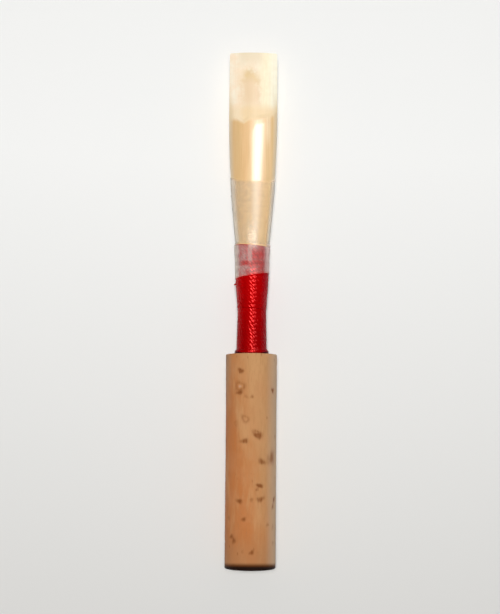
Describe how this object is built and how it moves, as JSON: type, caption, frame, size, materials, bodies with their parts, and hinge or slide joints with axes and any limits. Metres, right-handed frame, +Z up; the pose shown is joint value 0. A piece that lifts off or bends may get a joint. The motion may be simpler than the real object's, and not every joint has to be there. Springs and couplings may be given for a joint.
{
  "type": "oboe reed",
  "caption": "Oboe reed: arched, scraped cane blades bound with thread to a conical staple in a cork sleeve, its throat sealed with clear film.",
  "frame": {"origin": "on the surface that the reed lies on, under the middle of its length and width", "axes": "+Y along the reed, from the cork end to the tip; +Z up, out of the front blade; X across the blades"},
  "size_m": [0.007, 0.072, 0.0071],
  "materials": {
    "cane": "scraped and bark-smooth",
    "staple": "drawn, satin",
    "cork": "sanded cork",
    "thread": "nylon thread, wound tight",
    "film": "clear, slightly wrinkled"
  },
  "bodies": {
    "root": {"staple_tube": "staple", "cork_sleeve": "cork", "front_blade": "cane", "back_blade": "cane", "thread_layer": "thread", "thread_binding": "thread", "sealing_film": "film"}
  },
  "joints": []
}
